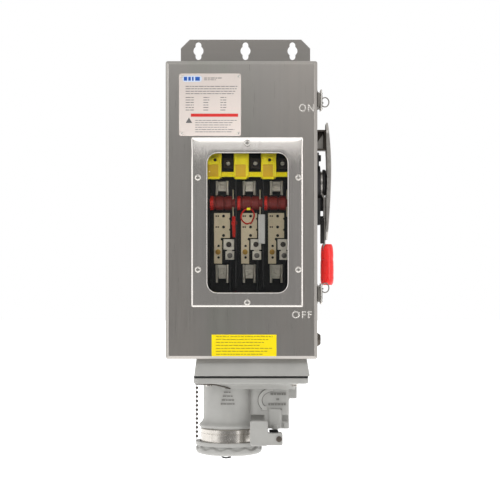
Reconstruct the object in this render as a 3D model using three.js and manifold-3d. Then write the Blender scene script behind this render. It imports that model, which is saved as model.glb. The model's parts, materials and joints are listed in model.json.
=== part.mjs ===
// Fusible safety switch in a stainless steel enclosure, with a viewing window in the door, a side handle
// and an interlocked plug receptacle below. Millimetres; +Z is up, the wall is the plane Y = 0 and the
// door faces -Y. X runs from the hinge side to the handle side.
import * as THREE from "three";
import { mergeVertices } from "three/addons/utils/BufferGeometryUtils.js";
import Module from "manifold-3d";

const wasm = await Module();
wasm.setup();

// ---- driving dimensions ----
const GAP = 0.3; // clearance between pieces that rest on each other
const SHEET = 1.9; // stainless steel sheet
const BODY = { x: 98, z: 200, front: -167, lip: 14 }; // half width, half height, front edge, front lip
const DOOR = { left: -106.8, right: 99, z: 202, front: -180, skirtEnd: -169, rim: 2.4 };
const HINGE = { x: -103, y: -163, r: 2.7, pinR: 1.4, holeR: 1.9, top: 195, knuckles: 11 };
const FLANGE = { x: 1, halfWidth: 94.3, top: 252.5, chamfer: 13, lowHalfWidth: 62, bottom: -238 };
const KEYHOLE = { pitch: 68.5, z: 236, r: 7.3, slotR: 4.2, rise: 8.4, drop: 9 };
const FRAME = { left: -71.6, right: 79.4, low: -131.4, high: 98.1, thick: 3 }; // window frame
const VIEW = { left: -49.9, right: 58.4, low: -111.5, high: 76.7, r: 13 }; // window opening
const PLATE = { left: -88.5, right: -4.6, low: 100.1, high: 184.7 }; // rating plate
const LABEL = { left: -44.4, right: 43.5, low: -198, high: -168.7 };
const PIVOT = { y: -75, z: 41 }; // handle shaft
const GRIP = { x: 116.6, r: 9.5, low: -103.6, high: -45.8 };
const LATCHES = { upper: { z: 149.8, ringRise: 0 }, lower: { z: -114, ringRise: 6 } };
const LATCH = { pinX: 103.8, pinY: -150, bailX: 104.4, bailY: -142, catchY: -175.5, wireR: 1.1 };
const RING = { x: 106.9, y: -119.5, r: 5.2, wireR: 0.8 };
const POLE = { middle: 6.5, pitch: 38 };
const BASE = { left: -58, right: 72, low: -118, high: 92, front: -58 }; // switch base
const ROTOR = { y: -80, z: 12, r: 7, camR: 10 };
const SOCKET = { x: -21.9, y: -95 }; // axis of the receptacle
const LEVER = { x: 47.5, z: -313.9, front: -147, back: -133 }; // plug release lever and its pivot
const CHAIN = { x: -67.5, y: -78, r: 1.6, top: -237.7, bottom: -322.2 };
const ROD = { x: 76, y: -100, lowX: 56, r: 2.5 }; // interlock rod

// ---- materials ----
function finish(color, roughness, metalness) {
  return new THREE.MeshStandardMaterial({ color, roughness, metalness });
}
const stainless = finish(0x8a8682, 0.38, 0.9);
const brightSteel = finish(0xb9b6b2, 0.25, 0.95);
const darkSteel = finish(0x4a4744, 0.5, 0.8);
const blackPlastic = finish(0x1b1b1c, 0.6, 0.0);
const blackRubber = finish(0x161616, 0.9, 0.0);
const redGrip = finish(0xdc2a22, 0.35, 0.0);
const darkRed = finish(0x6e1d18, 0.5, 0.0);
const yellowPlastic = finish(0xf2d512, 0.45, 0.0);
const yellowLabel = finish(0xf7e400, 0.5, 0.0);
const whitePlate = finish(0xe1dad4, 0.45, 0.1);
const tinPlate = finish(0xb8aa92, 0.4, 0.8);
const castPaint = finish(0xafada8, 0.45, 0.3);
const clearPane = finish(0xdfe6e6, 0.08, 0.0);
const redWire = finish(0xb01c18, 0.5, 0.0);
const greenWire = finish(0x1f7a3a, 0.5, 0.0);
clearPane.transparent = true;
clearPane.opacity = 0.2;

// ---- solids ----
// Turns a closed geometry into a solid, with its faces outwards and its empty triangles dropped.
function solid(geometry) {
  geometry.deleteAttribute("normal");
  geometry.deleteAttribute("uv");
  const merged = mergeVertices(geometry, 1e-4);
  const points = merged.attributes.position.array;
  const triangles = [];
  let volume = 0;
  for (let i = 0; i < merged.index.count; i += 3) {
    const [a, b, c] = merged.index.array.slice(i, i + 3);
    if (a === b || b === c || a === c) continue;
    triangles.push([a, b, c]);
    const [p, q, r] = [a, b, c].map((k) => new THREE.Vector3().fromArray(points, 3 * k));
    volume += p.dot(q.cross(r));
  }
  const outward = volume > 0 ? triangles : triangles.map(([a, b, c]) => [a, c, b]);
  const vertProperties = Float32Array.from(points);
  const triVerts = Uint32Array.from(outward.flat());
  return new wasm.Manifold(new wasm.Mesh({ numProp: 3, vertProperties, triVerts }));
}

function join(first, ...others) {
  return others.reduce((whole, other) => whole.add(other), first);
}

function cut(whole, ...tools) {
  return tools.reduce((rest, tool) => rest.subtract(tool), whole);
}

function box(x0, x1, y0, y1, z0, z1) {
  const geometry = new THREE.BoxGeometry(x1 - x0, y1 - y0, z1 - z0);
  return solid(geometry.translate((x0 + x1) / 2, (y0 + y1) / 2, (z0 + z1) / 2));
}

// A box whose lower and upper faces are different rectangles, each [x0, x1, y0, y1].
function taper(low, high, z0, z1) {
  const geometry = new THREE.BoxGeometry(2, 2, 2);
  const position = geometry.attributes.position;
  for (let i = 0; i < position.count; i++) {
    const [x0, x1, y0, y1] = position.getZ(i) < 0 ? low : high;
    const x = position.getX(i) < 0 ? x0 : x1;
    const y = position.getY(i) < 0 ? y0 : y1;
    position.setXYZ(i, x, y, position.getZ(i) < 0 ? z0 : z1);
  }
  return solid(geometry);
}

// A round bar or cone along an axis. u and v are its centre's other two coordinates, in X, Y, Z order.
function bar(axis, u, v, radius, from, to, sides = 16, endRadius = radius) {
  const geometry = new THREE.CylinderGeometry(endRadius, radius, to - from, sides);
  const middle = (from + to) / 2;
  if (axis === "x") geometry.rotateZ(-Math.PI / 2).translate(middle, u, v);
  if (axis === "y") geometry.translate(u, middle, v);
  if (axis === "z") geometry.rotateX(Math.PI / 2).translate(u, v, middle);
  return solid(geometry);
}

// An outline extruded along an axis. The outline is in (Y, Z) for x, (X, Z) for y and (X, Y) for z.
function prism(axis, shape, from, to, curveSegments = 2) {
  const options = { depth: to - from, bevelEnabled: false, curveSegments };
  const geometry = new THREE.ExtrudeGeometry(shape, options);
  const unit = [new THREE.Vector3(1, 0, 0), new THREE.Vector3(0, 1, 0), new THREE.Vector3(0, 0, 1)];
  const [x, y, z] = unit;
  const turn = new THREE.Matrix4();
  if (axis === "x") turn.makeBasis(y, z, x).setPosition(from, 0, 0);
  if (axis === "y") turn.makeBasis(x, z, y.clone().negate()).setPosition(0, to, 0);
  if (axis === "z") turn.setPosition(0, 0, from);
  return solid(geometry.applyMatrix4(turn));
}

function polygon(points) {
  return new THREE.Shape(points.map(([u, v]) => new THREE.Vector2(u, v)));
}

function roundRectangle(u0, u1, v0, v1, r) {
  const shape = new THREE.Shape();
  shape.absarc(u1 - r, v0 + r, r, -Math.PI / 2, 0);
  shape.absarc(u1 - r, v1 - r, r, 0, Math.PI / 2);
  shape.absarc(u0 + r, v1 - r, r, Math.PI / 2, Math.PI);
  shape.absarc(u0 + r, v0 + r, r, Math.PI, 1.5 * Math.PI);
  return shape;
}

// A closed [radius, Z] profile turned about the vertical line through u, v.
function turned(profile, u, v, sides = 24) {
  const points = profile.map(([r, z]) => new THREE.Vector2(r, z));
  const geometry = new THREE.LatheGeometry(points, sides);
  return solid(geometry.rotateX(Math.PI / 2).translate(u, v, 0));
}

function ringBar(u, v, outer, inner, from, to, sides = 24) {
  return cut(bar("z", u, v, outer, from, to, sides), bar("z", u, v, inner, from - 1, to + 1, sides));
}

// A round wire through the given points.
function wire(points, radius, steps, sides = 8) {
  const section = new THREE.Shape().absarc(0, 0, radius, 0, 2 * Math.PI);
  const path = new THREE.CatmullRomCurve3(points.map((p) => new THREE.Vector3(...p)));
  const options = { steps, extrudePath: path, curveSegments: sides / 2, bevelEnabled: false };
  return solid(new THREE.ExtrudeGeometry(section, options));
}

// ---- the assembly ----
const assembly = new THREE.Group();

function piece(name, shape, material) {
  const { vertProperties, triVerts } = shape.getMesh();
  const geometry = new THREE.BufferGeometry();
  geometry.setAttribute("position", new THREE.BufferAttribute(vertProperties, 3));
  geometry.setIndex(new THREE.BufferAttribute(triVerts, 1));
  geometry.computeVertexNormals();
  const mesh = new THREE.Mesh(geometry, material);
  mesh.name = name;
  assembly.add(mesh);
}

// Rear sheet with the upper mounting flange, its three double-ended keyholes and a lower flange.
function rearPanel() {
  const { x, halfWidth, top, chamfer, lowHalfWidth, bottom } = FLANGE;
  const outline = polygon([
    [-BODY.x, -BODY.z], [-lowHalfWidth, -BODY.z], [-lowHalfWidth, bottom], [lowHalfWidth, bottom],
    [lowHalfWidth, -BODY.z], [BODY.x, -BODY.z], [BODY.x, BODY.z], [x + halfWidth, BODY.z],
    [x + halfWidth, top - chamfer], [x + halfWidth - chamfer, top],
    [x - halfWidth + chamfer, top], [x - halfWidth, top - chamfer],
    [x - halfWidth, BODY.z], [-BODY.x, BODY.z],
  ]);
  const panel = prism("y", outline, -SHEET, 0);
  const keyholes = [-1, 0, 1].map((i) => {
    const at = x + i * KEYHOLE.pitch;
    const { z, r, slotR, rise, drop } = KEYHOLE;
    const ends = [z + rise, z - drop].map((end) => bar("y", at, end, slotR, -3, 1, 12));
    const slot = box(at - slotR, at + slotR, -3, 1, z - drop, z + rise);
    return join(bar("y", at, z, r, -3, 1, 16), slot, ...ends);
  });
  const lowHoles = [-40, 40].map((at) => bar("y", at, -228, 4.5, -3, 1, 12));
  return cut(panel, ...keyholes, ...lowHoles);
}

// Four walls with a lip round the front; the floor is open to the adapter box.
function enclosureShell() {
  const { x, z, front, lip } = BODY;
  const inner = [x - SHEET, z - SHEET];
  const walls = box(-x, x, front, -SHEET - GAP, -z, z);
  const room = box(-inner[0], inner[0], front + SHEET, 0, -inner[1], inner[1]);
  const doorway = box(-x + lip, x - lip, front - 1, front + 3, -z + lip, z - lip);
  const floorHole = box(-50, 82, -138, -46, -z - 1, -z + 3);
  const shaftHole = bar("x", PIVOT.y, PIVOT.z, 8, x - 4, x + 1, 12);
  return cut(walls, room, doorway, floorHole, shaftHole);
}

// Door pan with a bevelled rim all round and the window cut-out.
function doorPan() {
  const { left, right, z, front, skirtEnd, rim } = DOOR;
  const face = taper([left + rim, right - rim, -z + rim, z - rim], [left, right, -z, z], 0, rim);
  const bevelled = face.rotate([90, 0, 0]).mirror([0, 1, 0]).translate([0, front, 0]);
  const pan = join(bevelled, box(left, right, front + rim, skirtEnd, -z, z));
  const inside = [left + SHEET, right - SHEET, z - SHEET];
  const room = box(inside[0], inside[1], front + SHEET, skirtEnd + 1, -inside[2], inside[2]);
  const edge = 2.2;
  const hole = roundRectangle(
    VIEW.left - edge, VIEW.right + edge, VIEW.low - edge, VIEW.high + edge, VIEW.r + edge,
  );
  return cut(pan, room, prism("y", hole, front - 1, front + 4));
}

// A flat ring between two rounded outlines, each [x0, x1, z0, z1, corner radius].
function flatRing(outer, inner, from, to) {
  const hole = prism("y", roundRectangle(...inner), from - 1, to + 1);
  return cut(prism("y", roundRectangle(...outer), from, to), hole);
}

// One leaf of the continuous hinge. The knuckles alternate between the leaves.
function hingeLeaf(first, strip, bridge) {
  const { x, y, r, holeR, top, knuckles } = HINGE;
  const pitch = (2 * top) / knuckles;
  let leaf = box(...strip, -top, top);
  for (let i = first; i < knuckles; i += 2) {
    const low = -top + i * pitch + GAP;
    const high = low + pitch - 2 * GAP;
    const knuckle = join(bar("z", x, y, r, low, high, 10), box(...bridge, low, high));
    leaf = join(leaf, knuckle);
  }
  return cut(leaf, bar("z", x, y, holeR, -top - 1, top + 1, 8));
}

function enclosure() {
  piece("rear_panel", rearPanel(), stainless);
  piece("enclosure_shell", enclosureShell(), stainless);
  const bodyStrip = [-BODY.x - GAP - 1.8, -BODY.x - GAP, HINGE.y - 1.2, HINGE.y + 21];
  const bodyBridge = [HINGE.x, -BODY.x - GAP, HINGE.y - 1.2, HINGE.y + 1.2];
  piece("hinge_leaf_body", hingeLeaf(0, bodyStrip, bodyBridge), stainless);
  piece("hinge_pin", bar("z", HINGE.x, HINGE.y, HINGE.pinR, -HINGE.top, HINGE.top, 8), brightSteel);
  const plug = bar("x", -110, -179, 12.5, BODY.x + GAP, 106, 6, 7);
  piece("side_plug", plug, darkSteel);
}

function door() {
  const { front, skirtEnd, left } = DOOR;
  const back = front + SHEET;
  piece("door", doorPan(), stainless);
  const doorStrip = [left + SHEET + GAP, HINGE.x - 0.4, back + GAP, HINGE.y - 4];
  const doorBridge = [left + SHEET + GAP, HINGE.x - 0.4, HINGE.y - 4.2, HINGE.y];
  piece("hinge_leaf_door", hingeLeaf(1, doorStrip, doorBridge), stainless);
  const seal = [BODY.x - 6, BODY.z - 6];
  const sealWidth = 6.5;
  const sealOuter = [-seal[0], seal[0], -seal[1], seal[1], 8];
  const sealInner = [-seal[0] + sealWidth, seal[0] - sealWidth, -seal[1] + sealWidth, seal[1] - sealWidth, 3];
  piece("door_gasket", flatRing(sealOuter, sealInner, back + GAP, BODY.front - GAP), blackRubber);

  const frameOuter = [FRAME.left, FRAME.right, FRAME.low, FRAME.high, 2];
  const view = [VIEW.left, VIEW.right, VIEW.low, VIEW.high, VIEW.r];
  const frameFront = front - GAP - FRAME.thick;
  piece("window_frame", flatRing(frameOuter, view, frameFront, front - GAP), stainless);
  const paneBox = [VIEW.left - 10, VIEW.right + 10, VIEW.low - 10, VIEW.high + 10];
  const gasketInner = [VIEW.left - 4, VIEW.right + 4, VIEW.low - 4, VIEW.high + 4, 16];
  const gasketBack = back + GAP + 1;
  piece("window_gasket", flatRing([...paneBox, 4], gasketInner, back + GAP, gasketBack), blackRubber);
  const paneFront = gasketBack + GAP;
  const paneBack = paneFront + 3;
  const pane = box(paneBox[0], paneBox[1], paneFront, paneBack, paneBox[2], paneBox[3]);
  piece("window_pane", pane, clearPane);
  const retainerOuter = [FRAME.left + 2, FRAME.right - 2, FRAME.low + 2, FRAME.high - 2, 2];
  const retainerInner = [VIEW.left - 5, VIEW.right + 5, VIEW.low - 5, VIEW.high + 5, 10];
  const retainer = flatRing(retainerOuter, retainerInner, paneBack + GAP, paneBack + GAP + 1.5);
  piece("window_retainer", retainer, stainless);

  const plate = roundRectangle(PLATE.left, PLATE.right, PLATE.low, PLATE.high, 3);
  piece("rating_plate", prism("y", plate, front - GAP - 0.8, front - GAP), whitePlate);
  const label = box(LABEL.left, LABEL.right, front - GAP - 0.4, front - GAP, LABEL.low, LABEL.high);
  piece("caution_label", label, yellowLabel);
  for (const [name, { z }] of Object.entries(LATCHES)) {
    const foot = box(DOOR.right + GAP, DOOR.right + 2, front + 2.6, skirtEnd - 1.5, z - 10, z + 10);
    const hook = box(DOOR.right + GAP, LATCH.bailX - LATCH.wireR - 0.6, front + 2.6, front + 4.4, z - 8, z + 8);
    piece(`latch_keeper_${name}`, join(foot, hook), brightSteel);
  }
}

// A draw latch: base with two ears on the wall, a lever, a wire bail that reaches the keeper, a pull ring.
function drawLatch(name, { z, ringRise }) {
  const { pinX, pinY, bailX, bailY, wireR, catchY } = LATCH;
  const wall = BODY.x + GAP;
  const plate = box(wall, wall + 1.6, -166, -131, z - 13, z + 13);
  const ears = [-1, 1].map((s) => {
    const ear = prism("z", polygon([
      [wall + 1, pinY - 8], [wall + 1, pinY + 6], [pinX + 3.2, pinY + 3], [pinX + 3.2, pinY - 3],
    ]), z + s * 10.3 - 0.9, z + s * 10.3 + 0.9);
    return ear;
  });
  const pinHole = bar("z", pinX, pinY, 2.1, z - 14, z + 14, 8);
  piece(`latch_base_${name}`, cut(join(plate, ...ears), pinHole), brightSteel);

  const side = polygon([
    [pinX - 2.6, pinY - 2.5], [pinX + 3.2, pinY - 2.5], [pinX + 3.2, RING.y - 3.5],
    [pinX + 1.2, RING.y - 3.5], [pinX + 1.2, bailY + 3], [pinX - 2.6, bailY + 3],
  ]);
  const blade = prism("z", side, z - 8.2, z + 8.2);
  const lugZ = z + ringRise;
  const lug = box(RING.x - 2.3, RING.x + 2.5, RING.y - 5, RING.y + 2.9, lugZ - 0.9, lugZ + 0.9);
  const pin = bar("z", pinX, pinY, 1.5, z - 11.4, z + 11.4, 8);
  const bailHole = bar("z", bailX, bailY, 2.1, z - 9, z + 9, 8);
  const ringHole = bar("z", RING.x, RING.y, 1.5, lugZ - 2, lugZ + 2, 8);
  piece(`latch_lever_${name}`, cut(join(blade, lug, pin), bailHole, ringHole), brightSteel);

  const reach = 13.1;
  const loop = [wireR, -wireR].map((w) => (
    roundRectangle(catchY - w, bailY + w, z - reach - w, z + reach + w, 1.5 + w)
  ));
  const [outside, hollow] = loop.map((outline, i) => (
    prism("x", outline, bailX - wireR - i, bailX + wireR + i)
  ));
  piece(`latch_bail_${name}`, cut(outside, hollow), brightSteel);

  const torus = new THREE.TorusGeometry(RING.r, RING.wireR, 6, 18).rotateX(Math.PI / 2);
  const ring = solid(torus.translate(RING.x + RING.r, RING.y, lugZ));
  piece(`latch_ring_${name}`, ring, brightSteel);
}

// Everything on the outside of the handle-side wall: bearing bracket, guard, standoff and handle.
function handle() {
  const { y, z } = PIVOT;
  const wall = BODY.x + GAP;
  const boreR = 5.6;
  const foot = prism("x", roundRectangle(y - 26, y + 26, z - 61, z + 43, 6), wall, 101.5);
  const boss = bar("x", y, z, 24, 101, 104.5, 20);
  const stop = box(101, 112, y + 9.6, y + 16, z - 59, z - 47);
  const bolt = bar("x", y, z + 34.6, 5, 101, 105, 6);
  const bracket = cut(join(foot, boss, stop, bolt), bar("x", y, z, boreR, 90, 120, 12));
  piece("operator_bracket", bracket, blackPlastic);

  const crank = join(bar("x", y, z, 14, 80, 84, 16), bar("x", y, z - 9, 3, 74, 81, 8));
  piece("pivot_shaft", join(bar("x", y, z, 5, 80, 114, 12), crank), brightSteel);
  const hub = cut(bar("x", y, z, 20, 104.8, 107, 20), bar("x", y, z, boreR, 100, 110, 12));
  piece("handle_hub", hub, blackPlastic);

  const profile = polygon([
    [107.3, z + 8], [109.8, z + 8], [109.8, z - 14], [113.9, z - 22], [113.9, -97], [110.9, -97],
    [110.9, -43], [107.6, -43], [107.6, -14], [111.2, -8], [111.2, z - 23], [107.3, z - 15.5],
  ]);
  const blade = prism("y", profile, y - 8, y + 8);
  const eye = bar("x", y, z, 16, 107.3, 109.8, 20);
  const lever = cut(join(blade, eye), bar("x", y, z, boreR, 100, 116, 12));
  piece("handle_lever", lever, stainless);
  const nut = cut(bar("x", y, z, 9, 110.1, 113.8, 6), bar("x", y, z, boreR, 109, 116, 12));
  piece("pivot_nut", nut, brightSteel);

  const { x: gripX, r, low, high } = GRIP;
  const barrel = turned([
    [0, low], [r * 0.8, low], [r * 0.97, low + 6], [r, (low + high) / 2], [r * 0.95, high - 5],
    [r * 0.82, high], [0, high],
  ], gripX, y, 16);
  const pocket = box(110.9 - 0.4, 113.9 + 0.4, y - 8.4, y + 8.4, -97.5, high + 1);
  piece("handle_grip", cut(barrel, pocket), redGrip);
}

// The guard is a strip bowed outwards, on a hollow standoff at its top end.
function guard() {
  const outer = [[117, 124.6], [120.4, 92], [121.5, 58], [120.9, 28], [119.2, 0], [116.4, -40.2]];
  const inner = outer.map(([x, z]) => [x - SHEET, z]).reverse();
  const strip = prism("y", polygon([...outer, ...inner]), PIVOT.y - 24, PIVOT.y + 24);
  piece("guard_plate", strip, stainless);
  const block = box(BODY.x + GAP, 114.8, PIVOT.y - 13, PIVOT.y + 13, 86, 115);
  const pocket = box(BODY.x + 3.5, 112.2, PIVOT.y - 14, PIVOT.y + 9, 88.6, 112.4);
  piece("guard_standoff", cut(block, pocket), darkSteel);
}

// Moulded base with mounting feet, phase barriers and end plates that carry the rotor.
function switchBase() {
  const { left, right, low, high, front } = BASE;
  const block = box(left, right, front, -20, low, high);
  const feet = [[-110, -88], [66, 88]].map(([z0, z1]) => box(left, right, -21, -SHEET - GAP, z0, z1));
  const walls = [-1.5, -0.5, 0.5, 1.5].map((i) => {
    const x = POLE.middle + 0.5 + i * POLE.pitch;
    return box(x - 0.8, x + 0.8, -112, front + 1, -107, 44);
  });
  const bore = bar("x", ROTOR.y, ROTOR.z, ROTOR.r + 1, left - 2, right + 2, 12);
  piece("switch_base", cut(join(block, ...feet, ...walls), bore), blackPlastic);
}

// Insulating comb over the line terminals.
function lineShield() {
  const tooth = polygon([[BASE.front - GAP, 80.5], [-118, 80.5], [-118, 65], [-108, 47], [BASE.front - GAP, 47]]);
  const teeth = poles().map((x) => prism("x", tooth, x - 21.5, x - 0.5));
  const rail = box(POLE.middle - POLE.pitch - 21, POLE.middle + POLE.pitch + 19, -106, -100, 48, 55);
  piece("line_shield", join(rail, ...teeth), yellowPlastic);
}

function poles() {
  return [-1, 0, 1].map((i) => POLE.middle + i * POLE.pitch);
}

// A spring clip for one end of a fuse, open to the front, on its post.
function fuseClip(x, low, high) {
  const floor = box(x - 8.3, x + 8.3, -87.5, -86.2, low, high);
  const legs = [-1, 1].map((s) => {
    const [near, far] = [x + s * 7.1, x + s * 8.3];
    return box(Math.min(near, far), Math.max(near, far), -108, -87, low, high);
  });
  const post = box(x - 5, x + 5, -86.6, BASE.front - GAP, low + 6, high - 6);
  return join(floor, ...legs, post);
}

// The strap from the rotor's load side to the lower clip, with its two wire lugs.
function loadStrap(x) {
  const front = -92;
  const wide = box(x - 11.4, x + 11, front, front + 2, -37.4, -2.3);
  const narrow = box(x - 11.4, x - 0.2, front, front + 2, -73.6, -37);
  const post = box(x - 9, x - 3, front + 1, BASE.front - GAP, -60, -50);
  const lugs = [box(x - 1, x + 17.2, -98, -86, -54, -39), box(x + 5.5, x + 17.2, -98, -86, -68, -53.5)];
  return join(wide, narrow, post, ...lugs);
}

function rotor() {
  const { y, z, r, camR } = ROTOR;
  const shaft = bar("x", y, z, r, -56.5, 72, 10);
  const cams = poles().map((x) => bar("x", y, z, camR, x - 17, x + 14, 12));
  const blades = poles().map((x) => box(x + 13.5, x + 16.4, y - 4.5, y + 4.5, z - 19, z + 19));
  const arm = box(68, 71.5, y - 5, y + 5, z, z + 20.5);
  piece("rotor", join(shaft, ...cams, ...blades, arm), darkRed);
}

function switchParts() {
  switchBase();
  lineShield();
  rotor();
  poles().forEach((x, i) => {
    piece(`fuse_clip_upper_${i + 1}`, fuseClip(x, 22.5, 42.6), brightSteel);
    piece(`fuse_clip_lower_${i + 1}`, fuseClip(x, -100.5, -74.3), brightSteel);
    piece(`load_strap_${i + 1}`, loadStrap(x), tinPlate);
    const end = [SOCKET.x + (i - 1) * 13, SOCKET.y + (i === 1 ? -12 : 6)];
    const start = x + 11.5;
    const cable = wire([
      [start, -92, -68.4], [start, -92.5, -84], [start - 0.5, -94, -108],
      [start * 0.8 + end[0] * 0.2, -96, -150], [(start + end[0]) / 2, (end[1] - 96) / 2, -196],
      [end[0], end[1], -236], [end[0], end[1], -261.6],
    ], 2.2, 20);
    piece(`load_cable_${i + 1}`, cable, blackRubber);
  });
  const ground = wire([
    [-72, -2.5, -150], [-72, -18, -151], [-62, -48, -170], [-40, -76, -205],
    [SOCKET.x, SOCKET.y + 15, -238], [SOCKET.x, SOCKET.y + 15, -261.6],
  ], 2.2, 20);
  piece("ground_cable", ground, greenWire);
  const x = POLE.middle;
  const lead = wire([
    [x - 6, -92.7, -9], [x - 6, -95.5, -8.6], [x - 7.5, -98.5, 1], [x - 2, -101, 7], [x + 5, -101, 6],
    [x + 9.5, -99.5, -2], [x + 8, -95.5, -14.6], [x + 8, -92.7, -15],
  ], 1, 16);
  piece("indicator_lead", lead, redWire);
}

// Hollow cast adapter between the enclosure's floor and the receptacle, with a sloping shoulder in front.
function adapterBox() {
  const top = [-65.6, 84.9, -148, -36];
  const shoulder = [-66.7, 86.5, -155, -35];
  const bottom = [-69, 89.7, -155, -33];
  const outside = join(taper(shoulder, top, -209, -BODY.z - GAP), taper(bottom, shoulder, -227.3, -209));
  piece("adapter_box", cut(outside, box(-61, 80, -143, -41, -230, -195)), castPaint);
  const sheet = box(-69.3, 87.3, -155, -35, -229.2, -227.6);
  piece("receptacle_gasket", cut(sheet, box(-61, 80, -143, -41, -231, -226)), blackRubber);
}

// Cast housing: flange, barrel with a flared collar, the interlock block beside it and the lever's lug.
function receptacleHousing() {
  const { x, y } = SOCKET;
  const flange = prism("z", roundRectangle(-69.7, 87.6, -157, -33, 8), -237.4, -229.5);
  const barrel = turned([
    [0, -302.4], [42, -302.4], [42, -294], [35.7, -287], [35.7, -236], [0, -236],
  ], x, y, 28);
  const block = box(7.6, 61.7, -125, -62, -302, -236);
  const tab = box(61, 72.7, -120, -105, -260.7, -236);
  const lug = box(42, 55.5, LEVER.back + 1.5, -118, -321, -300);
  const bore = bar("z", x, y, 31, -304, -242, 24);
  const wireHole = bar("z", x, y, 26, -243, -228, 16);
  const rodHole = bar("z", ROD.lowX, ROD.y, ROD.r + 0.8, -275, -228, 8);
  return cut(join(flange, barrel, block, tab, lug), bore, wireHole, rodHole);
}

function receptacle() {
  const { x, y } = SOCKET;
  adapterBox();
  piece("receptacle_housing", receptacleHousing(), castPaint);
  const contacts = [0, 1, 2, 3].map((i) => {
    const angle = Math.PI / 4 + (i * Math.PI) / 2;
    return bar("z", x + 15 * Math.cos(angle), y + 15 * Math.sin(angle), 3.4, -290, -270, 8);
  });
  const insert = cut(bar("z", x, y, 30.5, -284, -262, 24), ...contacts);
  piece("contact_insert", insert, blackPlastic);
  piece("collar_ring", ringBar(x, y, 39.5, 33.5, -331, -302.7), brightSteel);
  const cup = turned([
    [0, -340], [39, -340], [44.5, -337.5], [46.3, -333], [46.3, -321], [41, -321], [41, -333.5],
    [0, -333.5],
  ], x, y, 24);
  const boss = bar("z", x, y, 4, -346, -339, 8);
  const lug = box(CHAIN.x - 1.8, CHAIN.x + 7, CHAIN.y - 2.5, CHAIN.y + 2.5, -326, CHAIN.bottom - GAP);
  const lugInside = bar("z", x, y, 43, -333, -320, 24);
  piece("receptacle_cap", join(cup, boss, cut(lug, lugInside)), castPaint);
  const chain = wire([[CHAIN.x, CHAIN.y, CHAIN.bottom], [CHAIN.x, CHAIN.y, CHAIN.top]], CHAIN.r, 10);
  piece("bead_chain", chain, darkSteel);

  const { front, back } = LEVER;
  const paddle = prism("y", roundRectangle(7.6, 32.3, -323.6, -289, 3), front, back);
  const arm = prism("y", roundRectangle(28, 52.5, -322.9, -305.7, 2), front, back);
  const pinHole = bar("y", LEVER.x, LEVER.z, 2.7, front - 1, back + 1, 10);
  piece("release_lever", cut(join(paddle, arm), pinHole), castPaint);
  const pin = join(
    bar("y", LEVER.x, LEVER.z, 2.1, front - 1.5, back + 1.2, 10),
    bar("y", LEVER.x, LEVER.z, 4, front - 3, front - GAP, 10),
  );
  piece("release_pin", pin, darkSteel);
}

// Rod from the handle mechanism down into the interlock block, with a jog inside the adapter box.
function interlockRod() {
  const { x, y, lowX, r } = ROD;
  const upper = bar("z", x, y, r, -208, 22, 8);
  const jog = bar("x", y, -208, r, lowX, x, 8);
  const lower = bar("z", lowX, y, r, -250, -208, 8);
  piece("interlock_rod", join(upper, jog, lower), brightSteel);
}

enclosure();
door();
for (const [name, place] of Object.entries(LATCHES)) drawLatch(name, place);
handle();
guard();
switchParts();
receptacle();
interlockRod();

export default assembly;
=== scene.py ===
"""The looks of a receptacle-type safety switch: a stainless steel box with a windowed door, a side handle,
draw latches, a fusible switch inside and a cast receptacle with a chained cap below.

Lengths in this file are millimetres and become metres in the mesh helpers. +Z is up and the door faces -Y.
"""

import json
import math
import random

import bmesh
import bpy
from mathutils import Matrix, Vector

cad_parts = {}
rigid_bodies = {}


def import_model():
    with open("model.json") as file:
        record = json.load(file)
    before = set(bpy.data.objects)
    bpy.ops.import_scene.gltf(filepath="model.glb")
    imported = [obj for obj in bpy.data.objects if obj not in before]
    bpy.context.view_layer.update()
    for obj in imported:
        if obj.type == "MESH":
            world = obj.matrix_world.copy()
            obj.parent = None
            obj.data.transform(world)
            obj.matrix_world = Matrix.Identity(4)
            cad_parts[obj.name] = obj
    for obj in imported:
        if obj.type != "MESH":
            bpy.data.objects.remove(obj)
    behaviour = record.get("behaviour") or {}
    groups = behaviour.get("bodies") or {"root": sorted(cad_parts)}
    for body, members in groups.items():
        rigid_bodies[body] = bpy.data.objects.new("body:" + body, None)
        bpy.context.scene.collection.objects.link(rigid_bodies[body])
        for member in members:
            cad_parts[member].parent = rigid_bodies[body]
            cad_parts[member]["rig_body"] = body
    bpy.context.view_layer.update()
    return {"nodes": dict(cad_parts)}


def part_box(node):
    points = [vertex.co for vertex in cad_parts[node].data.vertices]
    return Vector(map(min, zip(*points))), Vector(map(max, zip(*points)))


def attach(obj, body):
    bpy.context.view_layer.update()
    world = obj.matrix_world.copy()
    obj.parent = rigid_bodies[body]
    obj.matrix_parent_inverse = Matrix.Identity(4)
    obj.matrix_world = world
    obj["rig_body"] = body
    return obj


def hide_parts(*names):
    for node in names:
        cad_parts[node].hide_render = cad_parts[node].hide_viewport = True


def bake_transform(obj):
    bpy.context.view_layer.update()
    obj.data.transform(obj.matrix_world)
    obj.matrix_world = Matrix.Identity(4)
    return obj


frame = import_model()
MM = 0.001


def extent(node):
    """A CAD node's box in millimetres: x0, x1, y0, y1, z0, z1."""
    low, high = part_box(node)
    return [value / MM for pair in zip(low, high) for value in pair]


# ---- camera ----
CAMERA_PLACE = (7.6, -2495.0, -54.2)
FIELD_WIDTH = 36.0  # sensor width
LENS = 123.12


def make_camera():
    data = bpy.data.cameras.new("camera")
    data.sensor_width = FIELD_WIDTH
    data.lens = LENS
    camera = bpy.data.objects.new("camera", data)
    camera.location = Vector(CAMERA_PLACE) * MM
    camera.rotation_euler = (math.radians(90), 0, 0)
    bpy.context.scene.collection.objects.link(camera)
    bpy.context.scene.camera = camera


make_camera()
bpy.context.scene.view_settings.view_transform = "Standard"


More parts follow.
